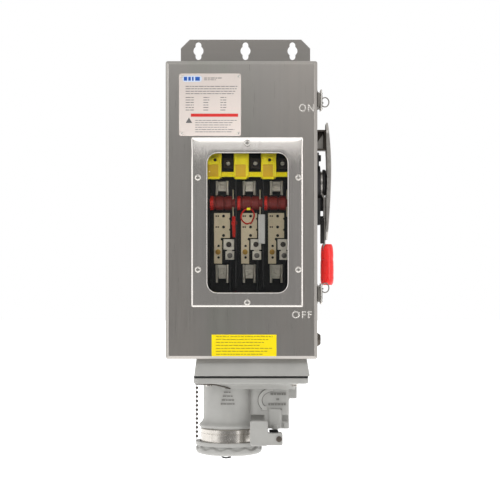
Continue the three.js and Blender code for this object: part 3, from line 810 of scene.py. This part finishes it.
def guard():
    """Bowed strip with rolled long edges, and the hollow standoff under its top end."""
    _, x1, y0, y1, z0, z1 = extent("guard_plate")
    loops = []
    for i in range(41):
        t = i / 40
        z = z1 + (z0 - z1) * t
        bow = x1 - 4.5 * ((t - 0.4) / 0.4) ** 2 if t < 0.4 else x1 - 5.1 * ((t - 0.4) / 0.6) ** 1.7
        near, far = bow - 1.9, bow
        narrow = 7 * max(0, 0.06 - t) / 0.06 + 7 * max(0, t - 0.94) / 0.06
        a, b = y0 + narrow, y1 - narrow
        lip = min(near - 0.02, max(far - 5.6, 114.7))
        loops.append([Vector(p) for p in (
            (lip, a, z), (far - 0.7, a, z), (far, a + 0.7, z), (far, b - 0.7, z), (far - 0.7, b, z),
            (lip, b, z), (lip, b - 1.5, z), (near, b - 1.9, z), (near, a + 1.9, z), (lip, a + 1.5, z),
        )])
    piece("guard_strip", loft(loops), polished_edge, ["guard_plate"])
    refined("guard_standoff", dark_steel, 0.5)
    gusset = prism("y", [(102.8, 89), (111.6, 89), (111.6, 111), (107, 104), (102.8, 98)], y0 + 30, y0 + 32)
    piece("guard_gusset", bevelled(gusset, 0.3), stainless_side)


enclosure()
latches()
handle()
guard()


# ---- the switch behind the window ----
SOCKET_X, SOCKET_Y = -21.9, -95.0  # the receptacle's axis
POLES = [sum(extent(f"fuse_clip_upper_{i}")[:2]) / 2 for i in (1, 2, 3)]


def folded_strip(points, thick, z0, z1):
    """Sheet metal that follows a line in X and Y, between two heights."""
    line = [Vector((*p, 0)) for p in points]
    left, right = [], []
    for i, p in enumerate(line):
        along = (line[min(i + 1, len(line) - 1)] - line[max(i - 1, 0)]).normalized()
        normal = Vector((-along.y, along.x, 0)) * thick / 2
        left.append((p + normal)[:2])
        right.append((p - normal)[:2])
    return prism("z", left + right[::-1], z0, z1)


def fuse_clips():
    """Spring clips with curved jaws and flared lips, each on its post, with a screw in the floor."""
    for i, x in enumerate(POLES):
        for end in ("upper", "lower"):
            node = f"fuse_clip_{end}_{i + 1}"
            x0, x1, y0, y1, z0, z1 = extent(node)
            floor = y0 + 21
            half = (x1 - x0) / 2 + 0.4
            jaw = [(half, floor), (half, floor - 3), (half - 1.2, floor - 6), (half + 0.2, floor - 10),
                   (half - 0.2, floor - 13.5), (half - 2.6, floor - 17), (half - 0.9, y0 + 0.6)]
            whole = [(x - u, v) for u, v in reversed(jaw)] + [(x + u, v) for u, v in jaw]
            middle = (z0 + z1) / 2 + 3
            legs = [folded_strip([(x + s * u, v) for u, v in jaw], 1.15, z0 + 0.3, z1 - 0.3) for s in (-1, 1)]
            bridge = folded_strip(whole, 1.3, z1 - 5, z1 - 0.5)
            plate = block(x - 5.4, x + 5.4, floor - 0.8, floor + 0.6, middle - 7, z1 - 0.6)
            clip = merged(*legs, bridge, plate)
            post = block(x - 5, x + 5, floor + 0.7, y1, z0 + 6, z1 - 6)
            head = lathe("y", x, middle, [(0, floor), (3.4, floor), (3.4, floor - 1.9), (2.8, floor - 2.5),
                                          (0, floor - 2.7)], 20)
            slot = block(x - 4, x + 4, floor - 4, floor - 1.6, middle - 0.45, middle + 0.45)
            parts = merged(bevelled(clip, 0.3), bevelled(post, 0.4), boolean(head, slot))
            piece(f"{node}_spring", parts, silver, [node])


def load_straps():
    """Tinned straps with two columns of holes, and the lug blocks with their binding screws."""
    for i in range(3):
        node = f"load_strap_{i + 1}"
        left, _, _, y1, _, top = extent(node)
        front = -92.0
        waist, wide, narrow = top - 35.1, left + 22.4, left + 11.2
        low = top - 71.3
        outline = [(left, low), (narrow, low), (narrow, waist), (wide, waist), (wide, top), (left, top)]
        strap = prism("y", outline, front, front + 2)
        holes = [(left + u, top - v, 1.2) for v in (4.2, 19.6) for u in (3.0, 5.8)]
        holes += [(left + 13.3, top - v, 2.1) for v in (4.2, 19.6, 31.5)]
        holes += [(wide, top - v, 1.5) for v in (8, 23.5)]
        holes += [(narrow, waist - 1.5, 2.0), (left + 6.3, top - 46.3, 1.8), (left + 6.3, top - 62.4, 1.8)]
        for u, v, r in holes:
            hole = lathe("y", u, v, [(0, front - 2), (r, front - 2), (r, front + 4), (0, front + 4)], 14)
            strap = boolean(strap, hole)
        post = block(left + 2.4, left + 8.4, front + 1.5, y1, -60, -50)
        parts = merged(bevelled(strap, 0.25), bevelled(post, 0.4))
        piece(f"{node}_bar", parts, tinned, [node])
        right = left + 28.4
        upper = block(left + 13.2, right, -98, -86, waist - 16.6, waist - 1.6)
        lower = block(left + 15.9, right, -98, -86, waist - 30.6, waist - 18.4)
        bridge = block(left + 18, right - 3, -95, -88, waist - 20, waist - 15)
        lugs = merged(bevelled(upper, 0.6, 3), bevelled(lower, 0.6, 3), bridge)
        piece(f"load_lug_{i + 1}", lugs, silver)
        for k, (u, v, metal) in enumerate([
            (left + 20.8, waist - 9, dark_steel), (left + 22.2, waist - 24.5, latch_steel),
            (left + 5.6, top - 54.7, brass),
        ]):
            y = -98.0 if k < 2 else front
            screw = lathe("y", u, v, [(0, y), (3.7, y), (3.7, y - 1.5), (3.0, y - 2.1), (0, y - 2.2)], 22)
            groove = block(u - 4, u + 4, y - 4, y - 1.2, v - 0.6, v + 0.6)
            piece(f"load_screw_{i + 1}_{k + 1}", boolean(screw, groove), metal)


def rotor():
    """Crossbar with a ribbed cam and a moving blade at each pole."""
    x0, x1 = extent("rotor")[:2]
    y, z, r, cam = -80.0, 12.0, 7.0, 10.0
    parts = [lathe("x", y, z, [(0, x0), (r, x0), (r, x1), (0, x1)], 32)]
    for x in POLES:
        profile = [(0, x - 17), (cam - 1, x - 17), (cam, x - 16)]
        for at in (x - 10, x + 3):
            profile += [(cam, at - 1.4), (cam - 1.5, at - 0.8), (cam - 1.5, at + 0.8), (cam, at + 1.4)]
        profile += [(cam, x + 13), (cam - 1, x + 14), (0, x + 14)]
        parts.append(lathe("x", y, z, profile, 40))
    parts.append(bevelled(block(68, 71.5, y - 5, y + 5, z, z + 20.5), 0.8, 3))
    piece("rotor_bar", merged(*parts), dark_red, ["rotor"], flat_angle=30, body="rotor")
    for i, x in enumerate(POLES):
        blade = block(x + 14.3, x + 16.3, y - 4.5, y + 4.5, z - 19, z + 19)
        piece(f"rotor_blade_{i + 1}", bevelled(blade, 0.6, 3), tinned, body="rotor")
        # painted highlight: a brighter red band over the left end of each cam, where the light catches the
        # rotor
        profile = [(7.2, x - 16.8), (cam + 0.15, x - 16.6), (cam + 0.15, x - 12.6), (7.2, x - 12.4)]
        collar = lathe("x", y, z, profile, 36, True)
        piece(f"rotor_highlight_collar_{i + 1}", collar, bright_red, body="rotor")


def switch_base():
    """Moulded base, phase barriers, the yellow comb over the line side and its terminals."""
    refined("switch_base", black, 0.5)
    comb = bevelled(cad_shape("line_shield"), 0.7, 3)
    extras = []
    for x in POLES:
        for edge in (x - 21, x - 4.6):
            outline = [(-104, 47), (-119.2, 64.5), (-119.2, 79), (-117, 80), (-108, 50)]
            rib = prism("x", outline, edge, edge + 1.6)
            extras.append(bevelled(rib, 0.3))
        extras.append(bevelled(block(x - 20, x - 3, -111.5, -106, 44.6, 48), 0.4))
    for i, x in enumerate(POLES):
        # painted shade: a thin darker yellow skin on each slope of the comb
        slope = prism("x", [(-109, 48.4), (-118.2, 64.6), (-118.8, 64.2), (-109.6, 48)], x - 19, x - 5)
        piece(f"line_shield_slope_shade_{i + 1}", bevelled(slope, 0.2), yellow_painted_shade)
    for i, x in ((1, POLES[0] - 9.5), (2, POLES[2] - 9.5)):
        profile = [(2.4, -117), (4.6, -117), (4.6, -119.4), (3.9, -120), (2.4, -120)]
        extras.append(lathe("y", x, 71, profile, 28, True))
        screw = lathe("y", x, 71, [(0, -117), (2.3, -117), (2.3, -118.6), (1.8, -119), (0, -119.1)], 20)
        piece(f"line_shield_screw_{i}", screw, dark_steel)
    piece("line_shield_comb", merged(comb, *extras), yellow, ["line_shield"])
    for i, x in enumerate(POLES):
        jaw = block(x + 2, x + 15, -104, -82, 60, 74)
        hole = lathe("y", x + 8.5, 67, [(0, -106), (4, -106), (4, -90), (0, -90)], 20)
        lug = bevelled(boolean(jaw, hole), 0.6)
        # painted shade: the lug is dark steel, standing in for the shade of the recess it sits in
        piece(f"line_lug_{i + 1}", lug, dark_steel)
        screw = lathe("y", x + 8.5, 67, [(0, -92), (3.0, -92), (3.0, -102), (2.4, -102.8), (0, -103)], 24)
        groove = block(x + 4, x + 13, -105, -101.6, 66.3, 67.7)
        piece(f"line_screw_{i + 1}", boolean(screw, groove), silver)
        pocket = block(x + 1, x + 16.5, -80, -58.3, 56, 79)
        piece(f"line_pocket_{i + 1}", bevelled(pocket, 0.6), black)


def small_fittings():
    """The red indicator rod, the pale auxiliary bar and the lead between them."""
    x = POLES[0]
    profile = [(0, -36.4), (1.8, -36.4), (2.4, -34), (3.2, -18), (3.2, -9), (2.6, -7), (0, -7)]
    rod = lathe("z", x + 17, -101, profile, 24)
    head = lathe("z", x + 17, -101, [(0, -19), (3.9, -18.6), (3.9, -14), (0, -13.6)], 24)
    piece("indicator_rod", merged(rod, head), bright_red)
    bar = block(POLES[1] + 12.5, POLES[1] + 22.1, -116.4, -112.3, -45.6, -4.6)
    piece("auxiliary_bar", bevelled(bar, 0.8, 3), pale_grey)
    x = POLES[1]
    lead = smooth_path([
        (x + 1.5, -92.4, -16), (x - 4, -96, -17.4), (x - 10, -99, -12.5), (x - 11.3, -100.5, -6),
        (x - 7.5, -101.5, 1), (x - 1, -102, 3.4), (x + 5, -101.5, 0.5), (x + 7, -100, -6),
        (x + 4.5, -97, -13), (x + 2, -92.4, -17.4),
    ])
    piece("indicator_lead_wire", sweep(lead, 1.0, 12), wire_red, ["indicator_lead"])
    cap = lathe("x", -102, 3.4, [(0, x - 3.4), (1.9, x - 3.2), (1.9, x + 1.6), (0, x + 1.8)], 20)
    piece("indicator_lead_cap", cap, yellow)


def cables():
    """Load and ground conductors from the lugs down to the receptacle's insert."""
    sx, sy = SOCKET_X, SOCKET_Y
    for i, x in enumerate(POLES):
        ex, ey = sx + (i - 1) * 13, sy + (-12 if i == 1 else 6)
        start = x + 11.5
        path = smooth_path([
            (start, -92, -68.4), (start, -92.5, -84), (start - 0.5, -94, -108),
            (start * 0.8 + ex * 0.2, -96, -150), ((start + ex) / 2, (ey - 96) / 2, -196), (ex, ey, -236),
            (ex, ey, -261.6),
        ])
        node = f"load_cable_{i + 1}"
        piece(f"{node}_jacket", sweep(path, 2.2, 16), wire_black, [node])
    path = smooth_path([
        (-72, -2.5, -150), (-72, -18, -151), (-62, -48, -170), (-40, -76, -205), (sx, sy + 15, -238),
        (sx, sy + 15, -261.6),
    ])
    piece("ground_cable_jacket", sweep(path, 2.2, 16), wire_green, ["ground_cable"])


fuse_clips()
load_straps()
rotor()
switch_base()
small_fittings()
cables()
refined("interlock_rod", bright, 0.3)


# ---- receptacle ----
def adapter():
    bm = bevelled(cad_shape("adapter_box"), 1.6, 4, 20)
    piece("adapter_casting", bm, casting, ["adapter_box"])
    refined("receptacle_gasket", rubber, 0.3)


def housing():
    """Flange, flared barrel and interlock block melted into one casting, then bored."""
    x, y = SOCKET_X, SOCKET_Y
    flange = bevelled(prism("z", round_rectangle(-69.7, 87.6, -157, -33, 8), -237.4, -229.5), 1.4, 3)
    barrel = lathe("z", x, y, [
        (0, -302.4), (39.4, -302.4), (41.8, -300), (42, -298.8), (41, -297), (37.6, -294), (36.2, -291.5),
        (35.7, -288), (35.7, -240), (37.6, -236), (0, -236),
    ], 96)
    outline = [(59.5, -125), (61.7, -122.8), (61.7, -62), (7.6, -62), *arc(18.6, -114, 11, 180, 270, 10)]
    body = bevelled(prism("z", outline, -302, -236), 1.6, 3)
    tab = bevelled(block(60, 72.7, -120, -105, -260.7, -236), 1.2, 3)
    rib = bevelled(block(33.7, 50.2, -128, -118, -301.6, -274), 1.2, 3)
    step = bevelled(block(54, 61.7, -127.5, -118, -301.8, -292.5), 1, 3)
    lug = bevelled(block(39, 46, -131.5, -118, -312, -296), 1.4, 3)
    ear = bevelled(block(41, 51.5, -131.5, -118, -320.5, -306.5), 1.4, 3)
    outline = [(-151, -236.5), (-150, -238.5), (-138, -241), (-128, -247), (-110, -247), (-110, -236.5)]
    skirt = prism("x", outline, -30, 70)
    whole = merged(flange, barrel, body, tab, rib, step, lug, ear, skirt)
    bore = lathe("z", x, y, [(0, -306), (31, -306), (31, -242), (0, -242)], 64)
    wires = lathe("z", x, y, [(0, -243), (26, -243), (26, -226), (0, -226)], 48)
    rod = lathe("z", 56, -100, [(0, -275), (3.3, -275), (3.3, -226), (0, -226)], 24)
    low_left = block(8.6, 27.5, -140, -110, -303, -283)
    low_right = block(51.5, 64, -140, -116, -291.5, -283)
    for tool in (bore, wires, rod, low_left, low_right):
        whole = boolean(whole, tool)
    whole = cast(whole, 0.8, 4)
    piece("receptacle_casting", whole, casting, ["receptacle_housing"], flat_angle=50)


def block_marks():
    """A raised curved arrow round rows of short bars, on the front of the interlock block."""
    front = -125.0
    cx, cz, rx, rz, half = 39.5, -262.5, 18.0, 15.0, 2.4

    def along(offset, angle):
        a = math.radians(angle)
        return (cx + (rx + offset) * math.cos(a), cz + (rz + offset) * math.sin(a))

    def curved_strip(offset, height):
        angles = [88 + 5.4 * i for i in range(26)]
        outline = [along(offset, a) for a in angles] + [along(-offset, a) for a in reversed(angles)]
        return prism("y", outline, front - height, front + 0.4)

    band = curved_strip(half, 2.4)
    head = prism("y", [along(5.2, 222), along(0, 243), along(-5.2, 222)], front - 2.4, front + 0.4)
    arrow = merged(bevelled(band, 0.5), bevelled(head, 0.4))
    piece("release_arrow", arrow, casting)
    # painted shadow: a darker band just wider than the arrow shows round its foot
    edge = bevelled(curved_strip(half + 0.9, 0.7), 0.3)
    piece("release_arrow_painted_shadow", edge, casting_painted_shade)
    # painted shade: the raised bars on the block and on the barrel are set in the darker paint
    rows = [(36, 57.5, -253.8, 2.6), (44, 50, -261, 2.6), (33, 57.5, -268, 2.6), (36.7, 52, -275, 2.6)]
    piece("release_print", text_bars(rows, front + 0.2, 2.2), casting_painted_shade)
    rows = [(-27 - 1.5 * i, -19 + 1.5 * i, -245.5 - 5.4 * i, 1.5) for i in range(5)]
    bars = text_bars(rows, -129.6, 1.7)
    piece("barrel_print", bars, casting_painted_shade)
    hook = smooth_path([
        (-67.5, -147, -238.2), (-60, -149, -238.4), (-50, -150, -238.4), (-40, -148.5, -239.2),
        (-30, -140, -242.2), (-20, -131.2, -245.8),
    ])
    piece("chain_hook", sweep(hook, 0.95, 10), dark_steel)


def flange_screws():
    """Hex heads under the flange's corners."""
    profile = [(0, -237.2), (5.2, -237.2), (5.2, -238.2), (4.4, -238.4), (4.4, -241.4), (0, -241.6)]
    for i, (x, y) in enumerate([(-49, -146), (69, -146), (-49, -44), (69, -44)]):
        head = lathe("z", x, y, profile, 6)
        piece(f"flange_screw_{i + 1}", bevelled(head, 0.3), bright)


def insert():
    """Insulating insert with a ring round each contact sleeve."""
    refined("contact_insert", black, 0.4)
    for i in range(4):
        a = math.pi / 4 + i * math.pi / 2
        u, v = SOCKET_X + 15 * math.cos(a), SOCKET_Y + 15 * math.sin(a)
        sleeve = lathe("z", u, v, [(2.3, -284.4), (3.0, -284.4), (3.0, -270.5), (2.3, -270.5)], 20, True)
        piece(f"contact_sleeve_{i + 1}", sleeve, brass)


def collar_ring():
    """Bright machined ring with a step and thread grooves at its hidden end."""
    x0, x1, _, _, z0, z1 = extent("collar_ring")
    outer, inner = (x1 - x0) / 2, 33.5
    profile = [(inner, z1), (outer - 1.2, z1), (outer, z1 - 1.2), (outer, z1 - 6), (outer - 0.35, z1 - 6.3),
               (outer - 0.35, z1 - 7), (outer, z1 - 7.3), (outer, z1 - 18)]
    z = z1 - 18
    while z > z0 + 2.4:
        profile += [(outer - 1.1, z - 1), (outer, z - 2)]
        z -= 2
    profile += [(outer - 1, z0), (inner, z0)]
    ring = lathe("z", SOCKET_X, SOCKET_Y, profile, 96, True)
    piece("collar_ring_turned", ring, polished, ["collar_ring"], flat_angle=30)


def cap():
    """Scalloped screw cap with a plain upper rim, a rounded floor, the chain's lug and an eye below."""
    outer = 46.3

    def scallop(angle, z):
        if not -339 < z < -327:
            return 0.0
        edge = -329.2 + 1.7 * math.cos(12 * angle)
        return 2.7 * min(1, max(0, (edge - z) / 1.6)) * min(1, (z + 339.4) / 2)

    heights = [-338.5 + 0.75 * k for k in range(15)]
    lobes = [(43.5 - 3.2 * max(0, (-333.5 - z) / 5) ** 2, z) for z in heights]
    profile = [(0, -339.9), (30, -339.9), (37, -339.5), *lobes, (43.6, -327), (45.6, -326.6), (outer, -326),
               (outer, -321.5), (outer - 0.5, -321), (41.6, -321), (41, -321.6), (41, -333.5), (0, -333.5)]
    cup = lathe("z", SOCKET_X, SOCKET_Y, profile, 192, False, scallop)
    boss = lathe("z", SOCKET_X, SOCKET_Y, [(0, -342), (5.4, -342), (6.4, -339.5), (0, -339.4)], 32)
    circle = arc(0, 0, 1, 0, 360, 32)[:-1]
    loop = [spot("y", SOCKET_X - 4 + 6 * u, -343.2 + 2.6 * v, SOCKET_Y) for u, v in circle]
    ferrule = [(r, SOCKET_X + along) for r, along in ((0, -1), (1.4, -0.6), (1.8, 1), (1.4, 2.6), (0, 3))]
    eye_ring = merged(sweep(loop, 1.1, 10, True), lathe("x", SOCKET_Y, -344.6, ferrule, 16))
    x0 = extent("receptacle_cap")[0]
    bottom = extent("bead_chain")[4] - 0.3
    lug = bevelled(block(x0, x0 + 7, -80.5, -75.5, bottom - 3.6, bottom), 0.7, 3)
    whole = merged(cup, lug)
    piece("receptacle_cap_scalloped", whole, casting, ["receptacle_cap"], flat_angle=50, body="cap")
    piece("cap_eye", merged(boss, eye_ring), black, body="cap")


def release_lever():
    """Rounded paddle and arm in one casting, its pivot pin and the coil spring above the arm."""
    x0, x1, y0, y1, z0, z1 = extent("release_lever")
    paddle = bevelled(prism("y", round_rectangle(x0, x0 + 24.7, z0, z1, 3.5), y0, y1), 1.4, 3)
    arm = bevelled(prism("y", round_rectangle(x0 + 20, x1, z0 + 0.7, z0 + 17.9, 2), y0, y1), 1.2, 3)
    hole = lathe("y", 47.5, -313.9, [(0, y0 - 1), (2.7, y0 - 1), (2.7, y1 + 1), (0, y1 + 1)], 24)
    whole = boolean(cast(merged(paddle, arm), 0.5, 3), hole)
    piece("release_lever_casting", whole, casting, ["release_lever"], flat_angle=50, body="release")
    profile = [(0, y1 + 1.2), (2.1, y1 + 1.2), (2.1, y0 - 0.3), (3.9, y0 - 0.3), (3.9, y0 - 1.8),
               (3, y0 - 2.6), (0, y0 - 2.9)]
    pin = lathe("y", 47.5, -313.9, profile, 28)
    piece("release_pin_head", pin, dark_steel, ["release_pin"])
    turns, r = 6, 1.7
    coil = [Vector((34.6 + 11.4 * k / (turns * 16), -139 + r * math.cos(2 * math.pi * k / 16),
                    -303.6 + r * math.sin(2 * math.pi * k / 16))) for k in range(turns * 16 + 1)]
    core = lathe("x", -139, -303.6, [(0, 34), (1.3, 34), (1.3, 46.6), (0, 46.6)], 16)
    piece("release_spring", merged(sweep(coil, 0.8, 8), core), rubber)


adapter()
housing()
block_marks()
flange_screws()
insert()
collar_ring()
cap()
release_lever()


# ---- studio ----
def studio():
    """Pale floor, white backdrop light and soft boxes round the object."""
    bm = bmesh.new()
    bmesh.ops.create_grid(bm, x_segments=1, y_segments=1, size=6)
    floor = to_object(bm, "floor")
    floor.location = (0, 5.2, -0.62)
    paint = Shader("floor_paint", (0.85, 0.85, 0.85, 1), 0.9)
    paint.set(Emission_Color=(1, 1, 1, 1), Emission_Strength=0.8)
    floor.data.materials.append(paint.material)

    world = bpy.data.worlds.new("studio")
    bpy.context.scene.world = world
    world.use_nodes = True
    tree = world.node_tree
    direction = tree.nodes.new("ShaderNodeTexCoord").outputs["Generated"]
    parts = tree.nodes.new("ShaderNodeSeparateXYZ")
    tree.links.new(direction, parts.inputs[0])
    depth = tree.nodes.new("ShaderNodeMapRange")
    depth.inputs["From Min"].default_value = -0.98
    depth.inputs["From Max"].default_value = -0.6
    depth.inputs["To Min"].default_value = 0.26
    depth.inputs["To Max"].default_value = 0.8
    tree.links.new(parts.outputs["Y"], depth.inputs["Value"])
    background = tree.nodes["Background"]
    tree.links.new(depth.outputs["Result"], background.inputs["Strength"])
    plain = tree.nodes.new("ShaderNodeBackground")
    plain.inputs["Color"].default_value = (1, 1, 1, 1)
    background.inputs["Color"].default_value = (1, 1, 1, 1)
    ray = tree.nodes.new("ShaderNodeLightPath")
    mix = tree.nodes.new("ShaderNodeMixShader")
    tree.links.new(ray.outputs["Is Camera Ray"], mix.inputs[0])
    tree.links.new(background.outputs[0], mix.inputs[1])
    tree.links.new(plain.outputs[0], mix.inputs[2])
    tree.links.new(mix.outputs[0], tree.nodes["World Output"].inputs[0])

    def lamp(name, kind, place, aim, power):
        data = bpy.data.lights.new(name, kind)
        data.energy = power
        obj = bpy.data.objects.new(name, data)
        obj.location = place
        obj.rotation_euler = (Vector(aim) - Vector(place)).to_track_quat("-Z", "Y").to_euler()
        bpy.context.scene.collection.objects.link(obj)
        return obj

    for name, place, size, power in (
        ("key_left", (-1.9, -1.5, 0.4), (1.5, 1.8), 11),
        ("key_right", (1.7, -2.1, 0.3), (0.9, 1.6), 8),
        ("sky", (0.1, -3.0, 1.3), (2.2, 0.9), 12),
        ("low", (0.1, -2.8, -1.6), (2.2, 0.9), 7),
    ):
        soft_box = lamp(name, "AREA", place, (0, -0.1, 0), power).data
        soft_box.shape = "RECTANGLE"
        soft_box.size, soft_box.size_y = size

    window_spot = lamp("window_spot", "SPOT", (0.0, -2.6, 0.1), (0.005, -0.1, -0.005), 190)
    window_spot.visible_glossy = False
    window_spot.data.spot_size = math.radians(6.6)
    window_spot.data.spot_blend = 1.0
    window_spot.data.shadow_soft_size = 0.12


studio()
